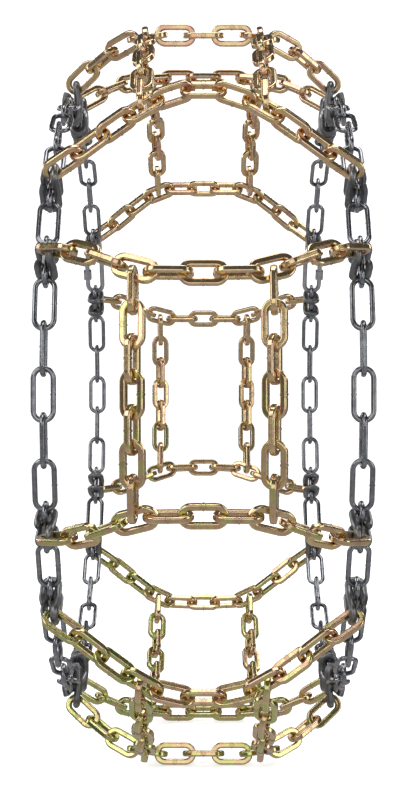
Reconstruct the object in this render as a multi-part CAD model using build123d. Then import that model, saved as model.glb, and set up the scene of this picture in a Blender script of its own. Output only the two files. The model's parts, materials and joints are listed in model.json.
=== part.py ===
from build123d import *
import os
from math import asin, cos, degrees, radians, sin, sqrt, tan

# A ladder-pattern traction chain net for a 12-16.5 skid-steer tire, laid out as it sits on the
# mounted tire.  Origin: wheel centre.  X: wheel axis.  -Y: front of the net.  +Z: up.
# Angles go round the wheel axis from the front (0) over the top (90) to the back (180).

# ---------------------------------------------------------------- driving dimensions (mm, degrees)
# The net
UNITS = 6                       # ladder units round the tire
CROSS_LINKS = 11                # square-bar links in each cross chain
TREAD_LINKS = 7                 # square-bar links in each tread chain
TREAD_JOINT_LINK = 4            # cross-chain link, from each end, that carries a tread chain
TREAD_RADIUS = 430.0            # wheel axis to the middle of a link on the tread
TREAD_DRIFT = (0.0, 1.6, 0.3, -0.3, 0.2, -1.2)  # how far each unit has crept round the tire

# Square-bar link
BAR = 6.2                       # side of the square bar
PITCH = 33.0                    # length of chain that each link adds
PLAY = 3.8                      # inside length beyond the pitch
LINK_GAP = 12.6                 # inside width
TREAD_PLAY = 1.0                # extra clearance where a tread chain holds a cross chain

# Side chain
SIDE_LINKS = 48                 # links in each side chain
SIDE_RADIUS = 348.5             # wheel axis to the middle of a side link
SIDE_OFFSET = 158.0             # wheel's middle plane to the side chain
SIDE_WIRE = 5.4                 # round wire diameter
SIDE_PLAY = 0.8
SIDE_GAP = 14.4
HOOK_LINK = 3                   # side links from a unit's middle to its hooks
GAP_LINK = 4                    # side links from a unit's middle to the gap between units

# Cross-chain hook, a bent hairpin of round bar.  Across: away from the wheel's middle plane.
# Out: away from the wheel axis.  Both are measured from the middle of the side link it holds.
HOOK_BAR = 8.0
HOOK_LEGS = 19.0                # spacing of the two legs
HOOK_HALF_WIDTH = 7.5           # across, to the middle of a leg
HOOK_BOTTOM = -17.6             # out, to the middle of the bottom bend
HOOK_SHOULDER = 8.0             # out, where the legs start to close in
HOOK_TIP = (5.2, 17.0)          # across and out, free end of a leg
HOOK_EYE = (-5.5, 27.5)         # across and out, closed end that holds the cross chain
HOOK_BOTTOM_BEND = 7.4
HOOK_SIDE_BEND = 12.0
HOOK_EYE_BEND = 7.4
HOOK_PLAY = 1.0                 # clearance between the closed end and the end link

# Shape of a cross chain
SHOULDER_SOFTNESS = 0.8         # how gently it turns down over the shoulder
BOW_END = 1.15                  # share of the slope over which it swings towards its hook
FLAT_RANGE = (-60.0, 120.0)     # half width of the flat part is looked for in here
HALVINGS = 40                   # halvings of such a range, far below a thousandth of a millimetre
FIRST_SPREAD = 15.8             # first guess of a cross chain's angle from its unit's middle
SPREAD_ROUNDS = 5               # corrections of that guess

# Screw closing link, one in each side chain
CLOSING_GAP_ANGLE = 150.0       # where the ring of side links is closed
CLOSING_WIRE = 6.4
CLOSING_MOUTH = 8.0             # opening between the two stubs
SLEEVE_LENGTH = 13.0
SLEEVE_FLATS = 11.0             # across the flats of the hexagon
SLEEVE_ROUNDING = 1.08          # its corners are turned off at this much of the flats
SLEEVE_CLEARANCE = 0.08         # radial, over the stubs

# ---------------------------------------------------------------- worked-out sizes
UNIT_ANGLE = 360.0 / UNITS
SIDE_STEP = 360.0 / SIDE_LINKS
SIDE_PITCH = 2 * SIDE_RADIUS * tan(radians(SIDE_STEP / 2))
HOOK_ANGLE = HOOK_LINK * SIDE_STEP
EYE_ACROSS = SIDE_OFFSET + HOOK_EYE[0]
EYE_RADIUS = SIDE_RADIUS + HOOK_EYE[1]
EYE_REACH = PITCH - HOOK_BAR / 2 - HOOK_PLAY    # last joint to the middle of the hook's eye
HALF_LINKS = CROSS_LINKS // 2
GAP_INDICES = range(GAP_LINK, SIDE_LINKS, 2 * GAP_LINK)


# ---------------------------------------------------------------- the wheel's directions
def radial(angle):
    return Vector(0, -cos(radians(angle)), sin(radians(angle)))


def tangent(angle):
    return Vector(0, sin(radians(angle)), cos(radians(angle)))


def wheel_point(across, radius, angle):
    return Vector(across, 0, 0) + radial(angle) * radius


def radius_of(point):
    return sqrt(point.Y ** 2 + point.Z ** 2)


def link_plane(start, end, face):
    """Plane of a link whose joints are start and end and whose flat side faces `face`."""
    along = (end - start).normalized()
    across_bar = (face - along * face.dot(along)).normalized()
    return Plane(origin=(start + end) / 2, x_dir=along, z_dir=across_bar)


# ---------------------------------------------------------------- single pieces, at the origin
def square_link():
    """Stadium-shaped link of square bar, long axis X."""
    straight = PITCH + PLAY - LINK_GAP
    outside = SlotCenterToCenter(straight, LINK_GAP + 2 * BAR)
    inside = SlotCenterToCenter(straight, LINK_GAP)
    return extrude(outside - inside, BAR / 2, both=True).solids()[0]


def round_link(wire, gap, pitch, play):
    """Stadium-shaped link of round wire, long axis X."""
    middle = gap + wire
    straight = pitch + play - gap
    path = SlotCenterToCenter(straight, middle).wire()
    start = path @ 0
    section = Plane(origin=start, z_dir=path % 0) * Circle(wire / 2)
    return sweep(section, path).solids()[0]


def hook():
    """Hairpin hook.  X: across, Y: along the side chain, Z: out."""
    half = HOOK_LEGS / 2
    outline = [
        HOOK_TIP,
        (HOOK_HALF_WIDTH, HOOK_SHOULDER),
        (HOOK_HALF_WIDTH, HOOK_BOTTOM),
        (-HOOK_HALF_WIDTH, HOOK_BOTTOM),
        (-HOOK_HALF_WIDTH, HOOK_SHOULDER),
        HOOK_EYE,
    ]
    one_leg = [(across, -half, out) for across, out in outline]
    other_leg = [(across, half, out) for across, out in reversed(outline)]
    bends = [HOOK_SIDE_BEND, HOOK_BOTTOM_BEND, HOOK_BOTTOM_BEND, HOOK_SIDE_BEND, HOOK_EYE_BEND]
    path = FilletPolyline(*one_leg, *other_leg, radius=bends + bends[::-1])
    section = Plane(origin=path @ 0, z_dir=path % 0) * Circle(HOOK_BAR / 2)
    return sweep(section, path.wire()).solids()[0]


def closing_link():
    """Round link with a mouth in the middle of its +Y side, which the sleeve covers."""
    body = round_link(CLOSING_WIRE, SIDE_GAP, SIDE_PITCH, SIDE_PLAY)
    side = (SIDE_GAP + CLOSING_WIRE) / 2
    mouth = Pos(0, side, 0) * Box(CLOSING_MOUTH, 2 * CLOSING_WIRE, 2 * CLOSING_WIRE)
    return (body - mouth).solids()[0]


def closing_sleeve():
    """Hexagonal sleeve nut over the mouth of the closing link."""
    side = (SIDE_GAP + CLOSING_WIRE) / 2
    outside = RegularPolygon(SLEEVE_FLATS / 2, 6, major_radius=False)
    bore = Circle(CLOSING_WIRE / 2 + SLEEVE_CLEARANCE)
    nut = extrude(outside - bore, SLEEVE_LENGTH / 2, both=True)
    round_cut = Cylinder(SLEEVE_FLATS / 2 * SLEEVE_ROUNDING, SLEEVE_LENGTH)
    return (Pos(0, side, 0) * Rot(0, 90, 0) * (nut & round_cut)).solids()[0]


# ---------------------------------------------------------------- course of a cross chain
def rounded_ramp(share):
    """0 up to share = 0, then a soft start into a straight slope that reaches 1 at share = 1."""
    soft = SHOULDER_SOFTNESS
    rise = sqrt(max(share, 0.0) ** 2 + soft ** 2) - soft
    return rise / (sqrt(1 + soft ** 2) - soft)


def soft_step(share):
    """0 to 1 with a soft start and end, over the first BOW_END of the slope."""
    done = min(max(share / BOW_END, 0.0), 1.0)
    return done * done * (3 - 2 * done)


def cross_point(side, across, flat, tread_angle, hook_angle):
    """Point of a cross chain `across` from the middle plane, on side +1 or -1."""
    share = (across - flat) / (EYE_ACROSS - flat)
    radius = TREAD_RADIUS + (EYE_RADIUS - TREAD_RADIUS) * rounded_ramp(share)
    angle = tread_angle + (hook_angle - tread_angle) * soft_step(share)
    return wheel_point(side * across, radius, angle)


def march(side, flat, tread_angle, hook_angle):
    """Distances across of the joints from the middle link out to the hook's eye."""
    across = [PITCH / 2]
    for length in [PITCH] * (HALF_LINKS - 1) + [EYE_REACH]:
        start = cross_point(side, across[-1], flat, tread_angle, hook_angle)
        low, high = across[-1], across[-1] + length
        for _ in range(HALVINGS):
            middle = (low + high) / 2
            reached = cross_point(side, middle, flat, tread_angle, hook_angle)
            if (reached - start).length < length:
                low = middle
            else:
                high = middle
        across.append((low + high) / 2)
    return across


def half_chain_joints(side, tread_angle, hook_angle):
    """Joints from the middle link to the hook's eye, with a flat part that uses up the chain."""
    low, high = FLAT_RANGE
    for _ in range(HALVINGS):
        flat = (low + high) / 2
        if march(side, flat, tread_angle, hook_angle)[-1] > EYE_ACROSS:
            low = flat
        else:
            high = flat
    across = march(side, flat, tread_angle, hook_angle)
    return [cross_point(side, value, flat, tread_angle, hook_angle) for value in across]


def cross_chain_planes(tread_angle, hook_angle):
    """Planes of a cross chain's links, from the -X hook to the +X hook."""
    halves = {}
    for side in (-1, 1):
        joints = half_chain_joints(side, tread_angle, hook_angle)
        along_last = (joints[-1] - joints[-2]).normalized()
        joints[-1] = joints[-2] + along_last * PITCH
        halves[side] = joints
    joints = halves[-1][::-1] + halves[1]
    planes = []
    for number in range(CROSS_LINKS):
        start, end = joints[number], joints[number + 1]
        middle = (start + end) / 2
        outward = Vector(0, middle.Y, middle.Z).normalized()
        if number % 2 == 1:
            face = outward                  # lies flat on the tread
        else:
            face = Vector(1, 0, 0).cross(outward)   # stands on edge
        planes.append(link_plane(start, end, face))
    return planes


# ---------------------------------------------------------------- one ladder unit
def tread_joint(plane, inward):
    """Where a tread chain bears on the long side of a cross-chain link."""
    lateral = plane.y_dir
    if lateral.dot(inward) < 0:
        lateral = lateral * -1
    return plane.origin + lateral * (LINK_GAP / 2 - TREAD_PLAY)


def wheel_angle(point, near):
    """Angle of a point round the wheel, measured close to `near`."""
    return near + degrees(asin(tangent(near).dot(point) / radius_of(point)))


def unit_layout(unit):
    """Planes of a unit's two cross chains and of its two tread chains."""
    centre = unit * UNIT_ANGLE
    middle = centre + TREAD_DRIFT[unit]
    spread = FIRST_SPREAD
    for _ in range(SPREAD_ROUNDS):
        low = cross_chain_planes(middle - spread, centre - HOOK_ANGLE)
        high = cross_chain_planes(middle + spread, centre + HOOK_ANGLE)
        start = tread_joint(low[TREAD_JOINT_LINK - 1], tangent(middle))
        end = tread_joint(high[TREAD_JOINT_LINK - 1], tangent(middle) * -1)
        radius = (radius_of(start) + radius_of(end)) / 2
        wanted = TREAD_LINKS * 2 * degrees(asin(PITCH / 2 / radius))
        got = wheel_angle(end, middle) - wheel_angle(start, middle)
        spread += (wanted - got) / 2
    treads = []
    for number in (TREAD_JOINT_LINK - 1, CROSS_LINKS - TREAD_JOINT_LINK):
        start = tread_joint(low[number], tangent(middle))
        end = tread_joint(high[number], tangent(middle) * -1)
        treads.append(tread_chain_planes(start, end, middle))
    return low, high, treads


def tread_chain_planes(start, end, near):
    """Planes of a tread chain's links between two joints, bent round the tread."""
    start_angle, end_angle = wheel_angle(start, near), wheel_angle(end, near)
    joints = []
    for number in range(TREAD_LINKS + 1):
        share = number / TREAD_LINKS
        across = start.X + (end.X - start.X) * share
        radius = radius_of(start) + (radius_of(end) - radius_of(start)) * share
        joints.append(wheel_point(across, radius, start_angle + (end_angle - start_angle) * share))
    planes = []
    for number in range(TREAD_LINKS):
        middle = (joints[number] + joints[number + 1]) / 2
        face = Vector(0, middle.Y, middle.Z) if number % 2 == 1 else Vector(1, 0, 0)
        planes.append(link_plane(joints[number], joints[number + 1], face.normalized()))
    return planes


# ---------------------------------------------------------------- side chains and hooks
def side_plane(side, index):
    """Plane of a side link: even ones lie flat round the wheel, odd ones stand on edge."""
    angle = index * SIDE_STEP
    face = radial(angle) if index % 2 == 0 else Vector(1, 0, 0)
    return Plane(origin=wheel_point(side * SIDE_OFFSET, SIDE_RADIUS, angle),
                 x_dir=tangent(angle), z_dir=face)


def hook_plane(side, angle):
    return Plane(origin=wheel_point(side * SIDE_OFFSET, SIDE_RADIUS, angle),
                 x_dir=Vector(side, 0, 0), z_dir=radial(angle))


def closing_plane(side):
    """Plane of the closing link, its mouth on the outer side of the wheel."""
    index = round(CLOSING_GAP_ANGLE / SIDE_STEP)
    flat = side_plane(side, index)
    facing = flat.z_dir if flat.y_dir.X * side > 0 else flat.z_dir * -1
    return Plane(origin=flat.origin, x_dir=flat.x_dir, z_dir=facing)


# ---------------------------------------------------------------- writing the nodes
def put(piece, planes):
    return [plane.location * piece for plane in planes]


def write(name, pieces):
    export_step(Compound(label=name, children=list(pieces)), f"parts/{name}.step")


def main():
    os.makedirs("parts", exist_ok=True)
    gold = square_link()
    round_piece = round_link(SIDE_WIRE, SIDE_GAP, SIDE_PITCH, SIDE_PLAY)
    hook_piece = hook()

    for unit in range(UNITS):
        low, high, treads = unit_layout(unit)
        for offset, planes in enumerate((low, high)):
            number = 2 * unit + offset + 1
            ends = planes[:HALF_LINKS] + planes[HALF_LINKS + 1:]
            write(f"cross_chain_{number:02d}", put(gold, ends))
            write(f"centre_link_{number:02d}", put(gold, [planes[HALF_LINKS]]))
        write(f"tread_chains_{unit + 1}", put(gold, treads[0] + treads[1]))
        hooks = [hook_plane(side, unit * UNIT_ANGLE + way * HOOK_ANGLE)
                 for side in (-1, 1) for way in (-1, 1)]
        write(f"hooks_{unit + 1}", put(hook_piece, hooks))

    for side, word in ((-1, "left"), (1, "right")):
        fixed = [index for index in range(SIDE_LINKS) if index not in GAP_INDICES]
        write(f"side_chain_{word}", put(round_piece, [side_plane(side, index) for index in fixed]))
        number = 0
        for index in GAP_INDICES:
            if index * SIDE_STEP == CLOSING_GAP_ANGLE:
                continue
            number += 1
            write(f"gap_link_{word}_{number}", put(round_piece, [side_plane(side, index)]))
        write(f"closing_link_{word}", put(closing_link(), [closing_plane(side)]))
        write(f"closing_sleeve_{word}", put(closing_sleeve(), [closing_plane(side)]))


if __name__ == "__main__":
    main()
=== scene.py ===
import json
import math

import bpy
import numpy as np
from mathutils import Matrix, Vector


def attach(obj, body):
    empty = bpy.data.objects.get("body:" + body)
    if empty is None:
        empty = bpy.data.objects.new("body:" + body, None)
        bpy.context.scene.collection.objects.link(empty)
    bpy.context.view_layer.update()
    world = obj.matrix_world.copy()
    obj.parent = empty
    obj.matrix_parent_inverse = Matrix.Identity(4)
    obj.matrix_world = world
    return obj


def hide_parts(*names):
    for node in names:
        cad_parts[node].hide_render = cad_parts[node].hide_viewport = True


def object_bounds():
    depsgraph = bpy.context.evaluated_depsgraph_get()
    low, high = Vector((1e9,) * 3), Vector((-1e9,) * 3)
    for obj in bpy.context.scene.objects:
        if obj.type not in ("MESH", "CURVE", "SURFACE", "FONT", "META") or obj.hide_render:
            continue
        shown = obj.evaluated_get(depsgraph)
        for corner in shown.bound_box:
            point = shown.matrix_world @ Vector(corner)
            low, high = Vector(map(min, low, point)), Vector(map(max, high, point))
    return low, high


# Looks of the chain net: every link and hook of the frame is redrawn with rounded bars and weld beads,
# in the place where the frame's own solid is.  The closing links and their sleeves keep the frame's
# own meshes.  Metres, in the frame's axes.

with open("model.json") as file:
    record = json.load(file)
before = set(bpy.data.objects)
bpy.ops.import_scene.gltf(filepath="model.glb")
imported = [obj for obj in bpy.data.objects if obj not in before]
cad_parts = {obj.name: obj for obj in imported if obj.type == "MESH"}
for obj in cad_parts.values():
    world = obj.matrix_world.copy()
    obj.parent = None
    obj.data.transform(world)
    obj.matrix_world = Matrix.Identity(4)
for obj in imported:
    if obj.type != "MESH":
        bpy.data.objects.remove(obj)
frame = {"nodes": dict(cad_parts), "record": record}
CAD_BOX = [list(corner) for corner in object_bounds()]
dice = np.random.default_rng(7)

# ---------------------------------------------------------------- sizes (metres)
GOLD_BAR = 0.0069               # square bar of the gold links
GOLD_CORNER = 0.0020            # its rounded corners
CORNER_POINTS = 4               # points round each of them
EDGE_TILT = 0.2                 # a normal at least this far from both sides of the bar is on a corner
GOLD_GAP = 0.0118               # inside width
GOLD_LENGTH = 0.0352            # inside length
GOLD_BEAD = 0.10                # least swelling of the bar at the weld, as a share of the bar
GOLD_BEAD_SPREAD = 0.05         # and how much more it can be, by chance
GOLD_KEYSTONE = 0.10            # how much narrower a bend is outside than inside, as a share of the bar
WELD_WIDTH = 0.0016             # butt weld in the middle of one long side
# Where the side with the weld has its rings of points, in weld widths from its middle
WELD_STATIONS = (-4.5, -2.4, -1.6, -1.25, -0.9, -0.45, 0.0, 0.45, 0.9, 1.25, 1.6, 2.4, 4.5)
# The weld's ridge and the grooves beside it, in weld widths; the groove's depth as a share of the ridge
RIDGE_WIDTH, GROOVE_PLACE, GROOVE_WIDTH, GROOVE_DEPTH = 0.55, 1.25, 0.35, 0.6
RIDGE_MARK = 0.35               # how dark the weld scale on the ridge is, beside the painted shade in the groove
BEND_STEPS = 14                 # stretches in each bend of a link
BEND_WEAR = 0.3                 # how far round the bend the rubbing starts
OUTER_WEAR = 0.25               # rubbing on the outside of a bend beside that on the inside
LIES_FLAT = 0.7                 # a gold link whose thickness is this near to outward lies flat
LIES_ACROSS = 0.5               # a side link whose width is this far from outward lies across the wheel
UNIT_PITCH = 60                 # degrees round the wheel from one ladder unit to the next
TREAD_PITCH = 4.4               # degrees round the wheel for each tread link
TREAD_TWIST = (24, 22, 16, 8)   # their roll in degrees, from a chain's middle to its ends
CROSS_ROLL = 0.012              # spread of the links' chance rolls, in radians
TREAD_ROLL = 0.03
SIDE_ROLL = 0.05
SIDE_WIRE = 0.0055              # round wire of the side links
SIDE_WIRE_SIDES = 16
SIDE_GAP = 0.0142               # inside width
SIDE_LENGTH = 0.0462            # inside length
SIDE_BEAD = 0.12                # swelling at the weld, as a share of the wire
HOOK_BAR = 0.0080               # round bar of the hooks
HOOK_SIDES = 18
HOOK_LEGS = 0.0190              # between the middles of the two legs
SIDE_RADIUS = 0.3485            # wheel axis to the side chain
SIDE_OFFSET = 0.158             # middle plane to the side chain
# Hook outline across and out from its side link, and the bend at each corner
HOOK_OUTLINE = ((0.0052, 0.0170), (0.0075, 0.0080), (0.0075, -0.0176),
                (-0.0075, -0.0176), (-0.0075, 0.0080), (-0.0055, 0.0275))
HOOK_BENDS = (0.0120, 0.0074, 0.0074, 0.0120, 0.0074)
ARC_STEPS = 9                   # points in each bend of a hook
# Rounding of a leg's free end: how far in from the end and how wide, as shares of the bar
HOOK_DOME = ((0.0, 0.55), (0.08, 0.78), (0.22, 0.93), (0.42, 1.0))
TIP_WEAR = 0.6                  # rubbing of the hooks' ends
TIP_REACH = 0.004               # how far in from the end they are rubbed


# ---------------------------------------------------------------- mesh helpers
def square_profile(side, corner):
    """Points and normals round a square with rounded corners."""
    flat = side / 2 - corner
    points, normals = [], []
    for quarter in range(4):
        centre = [(flat, flat), (-flat, flat), (-flat, -flat), (flat, -flat)][quarter]
        for step in range(CORNER_POINTS):
            angle = math.radians(90 * quarter + 90 * step / (CORNER_POINTS - 1))
            normal = (math.cos(angle), math.sin(angle))
            points.append((centre[0] + corner * normal[0], centre[1] + corner * normal[1]))
            normals.append(normal)
    return np.array(points), np.array(normals)


def round_profile(width, count):
    """Points and normals round a circle."""
    angles = np.linspace(0, 2 * math.pi, count, endpoint=False)
    normals = np.stack([np.cos(angles), np.sin(angles)], 1)
    return normals * width / 2, normals


def stadium(length, gap, bar):
    """Centre line of a link: points, outward normals and how much each point is in a bend."""
    half = (length - gap) / 2
    radius = (gap + bar) / 2
    weld = [station * WELD_WIDTH for station in WELD_STATIONS]
    points, normals, bends = [], [], []
    for way in (1, -1):
        stations = [-half / 2, 0.0, half / 2] if way > 0 else weld
        for station in stations:
            points.append((station * way, -radius * way))
            normals.append((0, -way))
            bends.append(0.0)
        for step in range(BEND_STEPS + 1):
            angle = math.radians(-90 + 180 * step / BEND_STEPS)
            normal = (math.cos(angle) * way, math.sin(angle) * way)
            points.append((half * way + radius * normal[0], radius * normal[1]))
            normals.append(normal)
            bends.append(math.cos(angle))
    return np.array(points), np.array(normals), np.array(bends)


def weld_height(x):
    """Ridge of the butt weld, about 1 high, with a shallow groove on each side of it."""
    share = abs(x) / WELD_WIDTH
    groove = math.exp(-((share - GROOVE_PLACE) / GROOVE_WIDTH) ** 2)
    return math.exp(-(share / RIDGE_WIDTH) ** 2) - GROOVE_DEPTH * groove


def link_shape(length, gap, bar, profile, profile_normals, bead, keystone):
    """Vertices, normals, wear, and weld scale with painted groove shade of one link, long axis X, bead on
    +Y.
    """
    line, outward, bend = stadium(length, gap, bar)
    vertices, normals, wear, weld_scale_and_groove_shade = [], [], [], []
    for (x, y), (nx, ny), bent in zip(line, outward, bend):
        on_bead = weld_height(x) if ny > 0.99 else 0.0     # only the straight side at +Y has a weld
        swell = 1 + bead * on_bead
        for (u, v), (pu, pv) in zip(profile, profile_normals):
            narrow = 1 - keystone * bent * (u / bar)
            vertices.append((x + nx * u * swell, y + ny * u * swell, v * swell * narrow))
            normals.append((nx * pu, ny * pu, pv))
            wear.append(max(0.0, bent - BEND_WEAR) * (1.0 if pu < 0 else OUTER_WEAR))
            # Painted shade: the grooves beside the weld are coloured darkest, as shade; the ridge is
            # darkened less, as weld scale
            weld_scale_and_groove_shade.append(max(0.0, -on_bead) + RIDGE_MARK * max(0.0, on_bead))
    return [np.array(values) for values in (vertices, normals, wear, weld_scale_and_groove_shade)]


def ring_faces(rings, sides, closed=True):
    """Faces between rings of points, each ring with the same number of sides."""
    faces = []
    for ring in range(rings if closed else rings - 1):
        after = (ring + 1) % rings
        for side in range(sides):
            beside = (side + 1) % sides
            faces.append((ring * sides + side, after * sides + side,
                          after * sides + beside, ring * sides + beside))
    return faces


def build(name, parts):
    """One object from (vertices, normals, faces, wear, weld_scale_and_groove_shade, edge) parts."""
    vertices, normals, faces, layers = [], [], [], {"wear": [], "bead": [], "edge": []}
    for points, directions, part_faces, wear, weld_scale_and_groove_shade, edge in parts:
        start = sum(len(chunk) for chunk in vertices)
        vertices.append(points)
        normals.append(directions)
        faces.extend(tuple(index + start for index in face) for face in part_faces)
        for key, values in zip(("wear", "bead", "edge"), (wear, weld_scale_and_groove_shade, edge)):
            layers[key].append(values)
    mesh = bpy.data.meshes.new(name)
    mesh.from_pydata(np.concatenate(vertices).tolist(), [], faces)
    mesh.update()
    mesh.polygons.foreach_set("use_smooth", [True] * len(mesh.polygons))
    mesh.normals_split_custom_set_from_vertices(np.concatenate(normals).tolist())
    for key, values in layers.items():
        layer = mesh.attributes.new(key, "FLOAT", "POINT")
        layer.data.foreach_set("value", np.concatenate(values).astype(np.float32))
    piece = bpy.data.objects.new(name, mesh)
    bpy.context.scene.collection.objects.link(piece)
    return piece


# ---------------------------------------------------------------- where the frame's links are
def solids(node):
    """Corner points of each separate solid of a CAD node."""
    mesh = frame["nodes"][node].data
    points = np.empty(len(mesh.vertices) * 3, np.float32)
    mesh.vertices.foreach_get("co", points)
    points = points.reshape(-1, 3).astype(float)
    _, first, same = np.unique(np.round(points, 6), axis=0, return_index=True, return_inverse=True)
    same = same.reshape(-1)
    unique = points[first]
    mesh.calc_loop_triangles()
    corners = np.empty(len(mesh.loop_triangles) * 3, np.int32)
    mesh.loop_triangles.foreach_get("vertices", corners)
    corners = same[corners.reshape(-1, 3)]
    label = np.arange(len(unique))
    while True:
        lowest = label[corners].min(1)
        new = label.copy()
        for column in range(3):
            np.minimum.at(new, corners[:, column], lowest)
        new = new[new]
        if (new == label).all():
            break
        label = new
    return [unique[label == value] for value in np.unique(label)]


def link_place(points):
    """Middle and axes (long, wide, thick) of a link's corner points."""
    middle = points.mean(0)
    _, axes = np.linalg.eigh(np.cov((points - middle).T))
    axes = axes[:, ::-1].T
    spread = (points - middle) @ axes.T
    middle = middle + ((spread.max(0) + spread.min(0)) / 2) @ axes
    return middle, axes


def round_the_wheel(middle):
    """Outward and forward directions at a point of the net."""
    outward = np.array((0, middle[1], middle[2]))
    outward /= np.linalg.norm(outward)
    return outward, np.cross((1, 0, 0), outward)


def wheel_angle(middle):
    """Degrees round the wheel, upward from the front."""
    return math.degrees(math.atan2(middle[2], -middle[1]))


def settle(axes, wide_towards, roll):
    """Right-handed axes with the bead side facing wide_towards, rolled a little about the length."""
    long, wide = axes[0], axes[1]
    if wide @ wide_towards < 0:
        wide = -wide
    thick = np.cross(long, wide)
    turned = wide * math.cos(roll) + thick * math.sin(roll)
    return np.stack([long, turned, np.cross(long, turned)])


# ---------------------------------------------------------------- the pieces
def twist(middle):
    """Roll of a tread link: the chains lie on the tread with a slight twist."""
    from_unit = (wheel_angle(middle) + UNIT_PITCH / 2) % UNIT_PITCH - UNIT_PITCH / 2
    place = round(abs(from_unit) / TREAD_PITCH)
    return math.radians(TREAD_TWIST[min(place, len(TREAD_TWIST) - 1)])


def place_link(middle, placed, shape, edge):
    """One part for build(): a link's shape turned to the axes in placed and moved to middle."""
    points, normals, wear, weld_scale_and_groove_shade = shape
    rings = len(points) // len(edge)
    return (middle + points @ placed, normals @ placed, ring_faces(rings, len(edge)),
            wear, weld_scale_and_groove_shade, np.tile(edge, rings))


def gold_links(node, spread):
    """Square-bar links of a node; where a link lies flat its weld faces its unit's middle."""
    profile, profile_normals = square_profile(GOLD_BAR, GOLD_CORNER)
    edge = np.array([1.0 if min(abs(n)) > EDGE_TILT else 0.0 for n in profile_normals])
    parts = []
    for points in solids(node):
        middle, axes = link_place(points)
        outward, forward = round_the_wheel(middle)
        inward = forward if wheel_angle(middle) % UNIT_PITCH < UNIT_PITCH / 2 else -forward
        lies_flat = abs(axes[2] @ outward) > LIES_FLAT
        towards = inward if lies_flat else outward * dice.choice((-1, 1))
        placed = settle(axes, towards, dice.normal(0, spread))
        if node.startswith("tread_chains"):
            along = np.sign(axes[0] @ forward) * placed[0]
            turn = np.array(Matrix.Rotation(twist(middle), 3, Vector(along)))
            placed = placed @ turn.T
        bead = GOLD_BEAD + GOLD_BEAD_SPREAD * dice.random()
        shape = link_shape(GOLD_LENGTH, GOLD_GAP, GOLD_BAR, profile, profile_normals,
                           bead, GOLD_KEYSTONE)
        parts.append(place_link(middle, placed, shape, edge))
    return parts


def side_links(node, spread):
    """Round-wire links of a node."""
    profile, profile_normals = round_profile(SIDE_WIRE, SIDE_WIRE_SIDES)
    edge = np.zeros(len(profile))
    parts = []
    for points in solids(node):
        middle, axes = link_place(points)
        outward, _ = round_the_wheel(middle)
        towards = outward * dice.choice((-1, 1))
        if abs(axes[1] @ outward) < LIES_ACROSS:
            towards = np.array((dice.choice((-1, 1)), 0, 0))
        placed = settle(axes, towards, dice.normal(0, spread))
        shape = link_shape(SIDE_LENGTH, SIDE_GAP, SIDE_WIRE, profile, profile_normals, SIDE_BEAD, 0.0)
        parts.append(place_link(middle, placed, shape, edge))
    return parts


def bent_line(points, bends):
    """Straight runs joined by arcs of the given radii, as points along the line."""
    line = [points[0]]
    for index, bend in enumerate(bends, start=1):
        corner = points[index]
        back = (points[index - 1] - corner) / np.linalg.norm(points[index - 1] - corner)
        on = (points[index + 1] - corner) / np.linalg.norm(points[index + 1] - corner)
        half = math.acos(max(-1.0, min(1.0, back @ on))) / 2
        centre = corner + (back + on) / np.linalg.norm(back + on) * bend / math.sin(half)
        first = corner + back * bend / math.tan(half) - centre
        last = corner + on * bend / math.tan(half) - centre
        turn = math.pi - 2 * half
        for step in range(ARC_STEPS):
            share = step / (ARC_STEPS - 1)
            line.append(centre + (math.sin((1 - share) * turn) * first
                                  + math.sin(share * turn) * last) / math.sin(turn))
    line.append(points[-1])
    return line


def hook_shape():
    """Tube along the hook's hairpin: X across, Y along the side chain, Z out."""
    leg = [np.array((across, -HOOK_LEGS / 2, out)) for across, out in HOOK_OUTLINE]
    other = [point * (1, -1, 1) for point in reversed(leg)]
    line = bent_line(leg + other, HOOK_BENDS + HOOK_BENDS[::-1])
    profile, profile_normals = round_profile(HOOK_BAR, HOOK_SIDES)
    tip = HOOK_BAR / 2
    first = (line[1] - line[0]) / np.linalg.norm(line[1] - line[0])
    last = (line[-2] - line[-1]) / np.linalg.norm(line[-2] - line[-1])
    stations = [(line[0] + first * tip * depth, size) for depth, size in HOOK_DOME]
    stations += [(point, 1.0) for point in line[1:-1]]
    stations += [(line[-1] + last * tip * depth, size) for depth, size in reversed(HOOK_DOME)]
    points, normals = [], []
    side = np.array((0.0, 1.0, 0.0))
    places = [place for place, _ in stations]
    for index, (place, size) in enumerate(stations):
        ahead = places[min(index + 1, len(places) - 1)] - places[max(index - 1, 0)]
        ahead /= np.linalg.norm(ahead)
        side = side - ahead * (side @ ahead)
        side /= np.linalg.norm(side)
        up = np.cross(side, ahead)
        for (u, v), (pu, pv) in zip(profile, profile_normals):
            points.append(place + side * u * size + up * v * size)
            normals.append(side * pu + up * pv)
    sides = len(profile)
    faces = ring_faces(len(stations), sides, closed=False)
    for ring, turn in ((0, 1), (len(stations) - 1, -1)):
        faces.append([ring * sides + index for index in range(sides)][::turn])
    end = HOOK_OUTLINE[-1][1]
    wear = [TIP_WEAR if abs(place[2] - end) < TIP_REACH else 0.0 for place in places]
    return np.array(points), np.array(normals), faces, np.repeat(wear, sides)


def hook_parts(node):
    """Hooks of a node, each at the side chain, square to the wheel."""
    shape = hook_shape()
    parts = []
    for points in solids(node):
        middle = points.mean(0)
        side = 1.0 if middle[0] > 0 else -1.0
        outward, _ = round_the_wheel(middle)
        axes = np.stack([np.array((side, 0, 0)), np.cross(outward, (side, 0, 0)), outward])
        origin = np.array((side * SIDE_OFFSET, 0, 0)) + outward * SIDE_RADIUS
        blank = np.zeros(len(shape[0]))
        parts.append((origin + shape[0] @ axes, shape[1] @ axes, shape[2], shape[3], blank, blank))
    return parts


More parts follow.
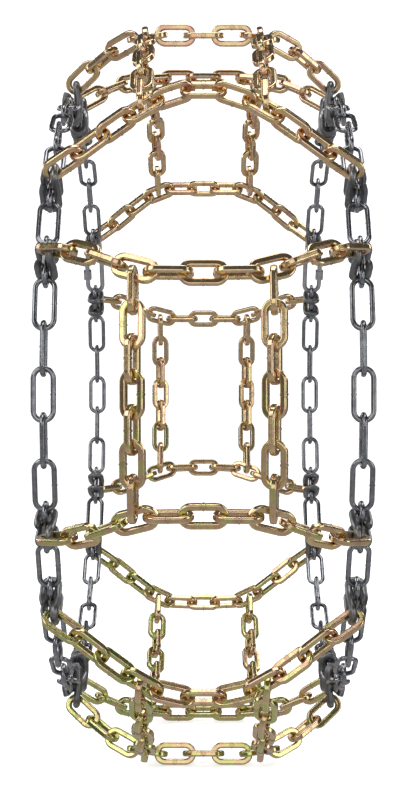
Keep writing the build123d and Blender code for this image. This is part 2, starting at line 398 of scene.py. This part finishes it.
# ---------------------------------------------------------------- materials
class Shader:
    """A node material with short calls for the nodes used here."""

    def __init__(self, name):
        self.material = bpy.data.materials.new(name)
        self.material.use_nodes = True
        self.nodes = self.material.node_tree.nodes
        self.links = self.material.node_tree.links
        self.surface = self.nodes["Principled BSDF"]
        self.place = self.nodes.new("ShaderNodeTexCoord").outputs["Object"]

    def put(self, value, socket):
        """Link a socket, or set a constant on it."""
        if isinstance(value, bpy.types.NodeSocket):
            self.links.new(value, socket)
        else:
            socket.default_value = value

    def noise(self, scale, detail=3.0, rough=0.5, distortion=0.0):
        node = self.nodes.new("ShaderNodeTexNoise")
        self.links.new(self.place, node.inputs["Vector"])
        node.inputs["Scale"].default_value = scale
        node.inputs["Detail"].default_value = detail
        node.inputs["Roughness"].default_value = rough
        node.inputs["Distortion"].default_value = distortion
        return node.outputs["Fac"]

    def math(self, operation, first, second, third=0.0):
        node = self.nodes.new("ShaderNodeMath")
        node.operation = operation
        for value, socket in zip((first, second, third), node.inputs):
            self.put(value, socket)
        return node.outputs[0]

    def attribute(self, name):
        node = self.nodes.new("ShaderNodeAttribute")
        node.attribute_name = name
        return node.outputs["Fac"]

    def ramp(self, value, stops):
        node = self.nodes.new("ShaderNodeValToRGB")
        points = node.color_ramp.elements
        while len(points) < len(stops):
            points.new(0.5)
        for point, (place, colour) in zip(points, stops):
            point.position = place
            point.color = (*colour, 1.0)
        self.put(value, node.inputs["Fac"])
        return node.outputs["Color"]

    def mix(self, share, first, second):
        node = self.nodes.new("ShaderNodeMix")
        node.data_type = "RGBA"
        self.put(share, node.inputs["Factor"])
        colour_sockets = [socket for socket in node.inputs if socket.type == "RGBA"]
        for value, socket in zip((first, second), colour_sockets):
            self.put(value if isinstance(value, bpy.types.NodeSocket) else (*value, 1.0), socket)
        return [socket for socket in node.outputs if socket.type == "RGBA"][0]

    def bump(self, height, strength, distance, before=None):
        node = self.nodes.new("ShaderNodeBump")
        node.inputs["Strength"].default_value = strength
        node.inputs["Distance"].default_value = distance
        self.links.new(height, node.inputs["Height"])
        if before:
            self.links.new(before, node.inputs["Normal"])
        return node.outputs["Normal"]

    def finish(self, colour, roughness, metallic, normal):
        self.put(colour, self.surface.inputs["Base Color"])
        self.put(roughness, self.surface.inputs["Roughness"])
        self.put(metallic, self.surface.inputs["Metallic"])
        self.links.new(normal, self.surface.inputs["Normal"])
        return self.material


# Tints of the chromate film, from the lowest to the highest tint index; the index mixes random patches, a
# random share per link and height, greener lower down
CHROMATE_FILM = (
    (0.20, (0.72, 0.41, 0.29)),     # copper pink
    (0.32, (0.78, 0.56, 0.34)),
    (0.43, (0.75, 0.57, 0.28)),     # champagne gold
    (0.52, (0.73, 0.45, 0.31)),
    (0.62, (0.69, 0.60, 0.25)),
    (0.78, (0.50, 0.57, 0.19)),     # olive green
)
# The pale edge colour is partly rubbed plating and partly a painted highlight along the bars' corners
# The weld colour is weld scale on the ridge and painted shade in the grooves beside it
STAIN, RUBBED_EDGE_AND_HIGHLIGHT, WELD_SCALE_AND_GROOVE_SHADE = (0.40, 0.29, 0.16), (0.86, 0.78, 0.60), (0.24, 0.17, 0.09)
RUST, RUBBED_STEEL = (0.13, 0.10, 0.08), (0.42, 0.41, 0.40)
ZINC_DULL, ZINC_BRIGHT = (0.40, 0.41, 0.43), (0.56, 0.57, 0.59)
SIDE_DEEP, SIDE_LIGHT, SIDE_POLISH = (0.20, 0.208, 0.228), (0.34, 0.35, 0.38), 0.09
HOOK_DEEP, HOOK_LIGHT, HOOK_POLISH = (0.150, 0.152, 0.158), (0.220, 0.223, 0.230), 0.26
PAPER_DULL, PAPER_BRIGHT, PAPER_GLOW = (0.88, 0.88, 0.885), (0.91, 0.91, 0.91), 0.46


def gold_plating():
    """Yellow zinc chromate: champagne gold that drifts into copper pink and olive green."""
    shade = Shader("yellow_chromate_plating")
    island = shade.nodes.new("ShaderNodeNewGeometry").outputs["Random Per Island"]
    split = shade.nodes.new("ShaderNodeSeparateXYZ")
    shade.links.new(shade.place, split.inputs["Vector"])
    drift = shade.math("MULTIPLY_ADD", shade.noise(58.0, 2.0, 0.5, distortion=0.6), 0.80, -0.04)
    drift = shade.math("MULTIPLY_ADD", island, 0.24, drift)
    # Tinted greener towards the bottom of the wheel, by height alone
    drift = shade.math("MULTIPLY_ADD", split.outputs["Z"], -0.34, drift)
    film = shade.ramp(drift, CHROMATE_FILM)
    mottle = shade.ramp(shade.noise(210.0, 4.0, 0.6), [(0.42, (0, 0, 0)), (0.70, (1, 1, 1))])
    film = shade.mix(shade.math("MULTIPLY", mottle, 0.30), film, STAIN)
    # Paler corners of the bars: partly rubbed plating, partly a painted highlight along the edges
    rub_and_highlight = shade.math("MULTIPLY", shade.attribute("edge"), shade.noise(260.0, 3.0))
    film = shade.mix(shade.math("MULTIPLY", rub_and_highlight, 0.50), film, RUBBED_EDGE_AND_HIGHLIGHT)
    # The bead mark darkens the colour: painted shade in the grooves beside the weld, and weld scale on the
    # ridge
    film = shade.mix(shade.math("MULTIPLY", shade.attribute("bead"), 0.85), film, WELD_SCALE_AND_GROOVE_SHADE)
    rough = shade.math("MULTIPLY_ADD", shade.noise(160.0, 3.0, 0.5), 0.16, 0.13)
    rough = shade.math("MULTIPLY_ADD", shade.attribute("bead"), 0.15, rough)
    dents = shade.bump(shade.noise(150.0, 2.0, 0.5), 0.22, 0.0006)
    grain = shade.bump(shade.noise(1500.0, 2.0), 0.05, 0.0002, dents)
    return shade.finish(film, rough, 1.0, grain)


def dark_steel(name, deep, light, polish):
    """Self-coloured hardened steel with specks of rust and rubbed places; polish is the least roughness."""
    shade = Shader(name)
    patch = shade.noise(110.0, 4.0, 0.6, distortion=0.4)
    colour = shade.ramp(patch, [(0.32, deep), (0.62, light)])
    rust = shade.math("GREATER_THAN", shade.noise(330.0, 4.0, 0.7), 0.66)
    colour = shade.mix(shade.math("MULTIPLY", rust, 0.30), colour, RUST)
    rubbed = shade.math("MULTIPLY", shade.attribute("wear"), shade.noise(500.0, 2.0))
    colour = shade.mix(shade.math("MULTIPLY", rubbed, 1.1), colour, RUBBED_STEEL)
    rough = shade.math("MULTIPLY_ADD", shade.noise(300.0, 3.0), 0.20, polish)
    dents = shade.bump(shade.noise(240.0, 3.0, 0.55), 0.20, 0.0005)
    grain = shade.bump(shade.noise(1800.0, 2.0), 0.08, 0.0002, dents)
    return shade.finish(colour, rough, 1.0, grain)


def zinc_plating():
    """Plain bright zinc of the closing links."""
    shade = Shader("zinc_plating")
    colour = shade.ramp(shade.noise(160.0, 4.0), [(0.3, ZINC_DULL), (0.7, ZINC_BRIGHT)])
    rough = shade.math("MULTIPLY_ADD", shade.noise(420.0, 3.0), 0.25, 0.2)
    return shade.finish(colour, rough, 1.0, shade.bump(shade.noise(900.0, 2.0), 0.15, 0.0002))


# ---------------------------------------------------------------- put the net together
GOLD = gold_plating()
SIDE_STEEL = dark_steel("side_chain_steel", SIDE_DEEP, SIDE_LIGHT, SIDE_POLISH)
HOOK_STEEL = dark_steel("hook_steel", HOOK_DEEP, HOOK_LIGHT, HOOK_POLISH)
ZINC = zinc_plating()
# How the nodes whose names start so are drawn, their material and their slot
LOOKS = {
    "cross_chain": (lambda node: gold_links(node, CROSS_ROLL), GOLD, "gold_link"),
    "centre_link": (lambda node: gold_links(node, 0.0), GOLD, "gold_link"),
    "tread_chains": (lambda node: gold_links(node, TREAD_ROLL), GOLD, "gold_link"),
    "hooks": (hook_parts, HOOK_STEEL, "hook"),
    "side_chain": (lambda node: side_links(node, SIDE_ROLL), SIDE_STEEL, "side_link"),
    "gap_link": (lambda node: side_links(node, SIDE_ROLL), SIDE_STEEL, "side_link"),
}
BODY_OF = {node: body for body, nodes in frame["record"]["behaviour"]["bodies"].items()
           for node in nodes}

for node in sorted(frame["nodes"]):
    kind = next((start for start in LOOKS if node.startswith(start)), None)
    if kind is None:
        frame["nodes"][node].data.materials.clear()
        frame["nodes"][node].data.materials.append(ZINC)
        continue
    make, material, slot = LOOKS[kind]
    piece = build(node + "_detail", make(node))
    piece.data.materials.append(material)
    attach(piece, BODY_OF[node])
    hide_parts(node)


# ---------------------------------------------------------------- studio
BOWL_RADIUS, BOWL_BEND, BOWL_HEIGHT = 7.0, 1.6, 6.0
BOWL_SIDES, BOWL_BEND_STEPS = 64, 12
# Each lamp: place, width and height, and how bright its face looks
LAMPS = {
    "front_light": ((0.0, -3.4, 0.6), (2.4, 1.5), 1.25),
    "key_light": ((-2.3, -2.2, 1.9), (1.9, 2.3), 2.7),
    "fill_light": ((2.6, -1.7, 0.4), (0.9, 2.4), 2.8),
    "top_light": ((0.2, -0.2, 3.0), (2.4, 1.5), 3.4),
    "low_light": ((-0.4, -2.6, -0.25), (2.0, 0.25), 1.4),
    "left_light": ((-3.0, 0.4, 0.5), (0.8, 2.2), 2.6),
    "back_light": ((0.0, 3.4, 0.6), (2.4, 1.5), 1.25),
    "back_light_left": ((-2.3, 2.2, 1.5), (1.2, 2.0), 3.0),
    "back_light_right": ((2.3, 2.2, 1.5), (1.2, 2.0), 3.0),
}
# What stands round the room, from straight below (0) through level (0.5) up: how bright it looks
AIR = ((0.0, 0.50), (0.36, 0.34), (0.49, 0.10), (0.56, 0.075))
AIR_BLUE = 1.02                 # blue beside red and green


def studio_bowl(floor):
    """Pale floor that curves up into a wall all round.  It doesn't mirror in the metal."""
    outline = [(0.0, floor), (BOWL_RADIUS - BOWL_BEND, floor)]
    for step in range(1, BOWL_BEND_STEPS + 1):
        angle = math.radians(90 * step / BOWL_BEND_STEPS)
        outline.append((BOWL_RADIUS - BOWL_BEND + BOWL_BEND * math.sin(angle),
                        floor + BOWL_BEND * (1 - math.cos(angle))))
    outline.append((BOWL_RADIUS, floor + BOWL_HEIGHT))
    turns = [2 * math.pi * side / BOWL_SIDES for side in range(BOWL_SIDES)]
    points = [(out * math.cos(turn), out * math.sin(turn), z) for out, z in outline for turn in turns]
    mesh = bpy.data.meshes.new("studio_bowl")
    faces = ring_faces(len(outline), BOWL_SIDES, closed=False)
    mesh.from_pydata(points, [], faces)
    mesh.polygons.foreach_set("use_smooth", [True] * len(faces))
    bowl = bpy.data.objects.new("studio_bowl", mesh)
    bpy.context.scene.collection.objects.link(bowl)
    shade = Shader("pale_paper")
    colour = shade.ramp(shade.noise(3.0, 2.0), [(0.3, PAPER_DULL), (0.7, PAPER_BRIGHT)])
    shade.surface.inputs["Emission Color"].default_value = (1.0, 1.0, 1.0, 1.0)
    shade.surface.inputs["Emission Strength"].default_value = PAPER_GLOW
    mesh.materials.append(shade.finish(colour, 0.85, 0.0, shade.bump(shade.noise(60.0), 0.02, 0.001)))
    bowl.visible_glossy = False


def softbox(name, place, size, glow):
    """A rectangular lamp that faces the net; glow is how bright its face looks."""
    light = bpy.data.lights.new(name, "AREA")
    light.shape = "RECTANGLE"
    light.size, light.size_y = size
    light.energy = glow * math.pi * size[0] * size[1]
    lamp = bpy.data.objects.new(name, light)
    lamp.location = place
    lamp.rotation_euler = (-Vector(place)).to_track_quat("-Z", "Y").to_euler()
    bpy.context.scene.collection.objects.link(lamp)


def studio_air():
    """What the metal mirrors away from the lamps: a dim room above a pale floor."""
    world = bpy.data.worlds.new("studio_air")
    world.use_nodes = True
    bpy.context.scene.world = world
    nodes, links = world.node_tree.nodes, world.node_tree.links
    way = nodes.new("ShaderNodeTexCoord").outputs["Generated"]
    split = nodes.new("ShaderNodeSeparateXYZ")
    height = nodes.new("ShaderNodeMapRange")
    height.inputs["From Min"].default_value = -1.0
    shade = nodes.new("ShaderNodeValToRGB")
    stops = shade.color_ramp.elements
    while len(stops) < len(AIR):
        stops.new(0.5)
    for stop, (place, glow) in zip(stops, AIR):
        stop.position = place
        stop.color = (glow, glow, glow * AIR_BLUE, 1.0)
    links.new(way, split.inputs["Vector"])
    links.new(split.outputs["Z"], height.inputs["Value"])
    links.new(height.outputs["Result"], shade.inputs["Fac"])
    links.new(shade.outputs["Color"], nodes["Background"].inputs["Color"])


# ---------------------------------------------------------------- camera
# It stands level at axle height in front of the net
EYE_DISTANCE = 1.715
SENSOR = 36.0                   # millimetres
LENS = 62.37                    # millimetres
RISE = -0.006875                # shift of the view, so that the axle stands a little above the middle
FAR = 50                        # nothing farther off is drawn


def camera():
    """The camera at the photograph's angle."""
    view = bpy.data.cameras.new("camera")
    view.sensor_width = SENSOR
    view.lens = LENS
    view.shift_y = RISE
    view.clip_end = FAR
    eye = bpy.data.objects.new("camera", view)
    eye.location = (0, -EYE_DISTANCE, 0)
    eye.rotation_euler = (math.radians(90), 0, 0)
    bpy.context.scene.collection.objects.link(eye)
    bpy.context.scene.camera = eye
    bpy.context.scene.view_settings.view_transform = "Standard"


studio_bowl(CAD_BOX[0][2])
for name, (place, size, glow) in LAMPS.items():
    softbox(name, place, size, glow)
studio_air()
camera()
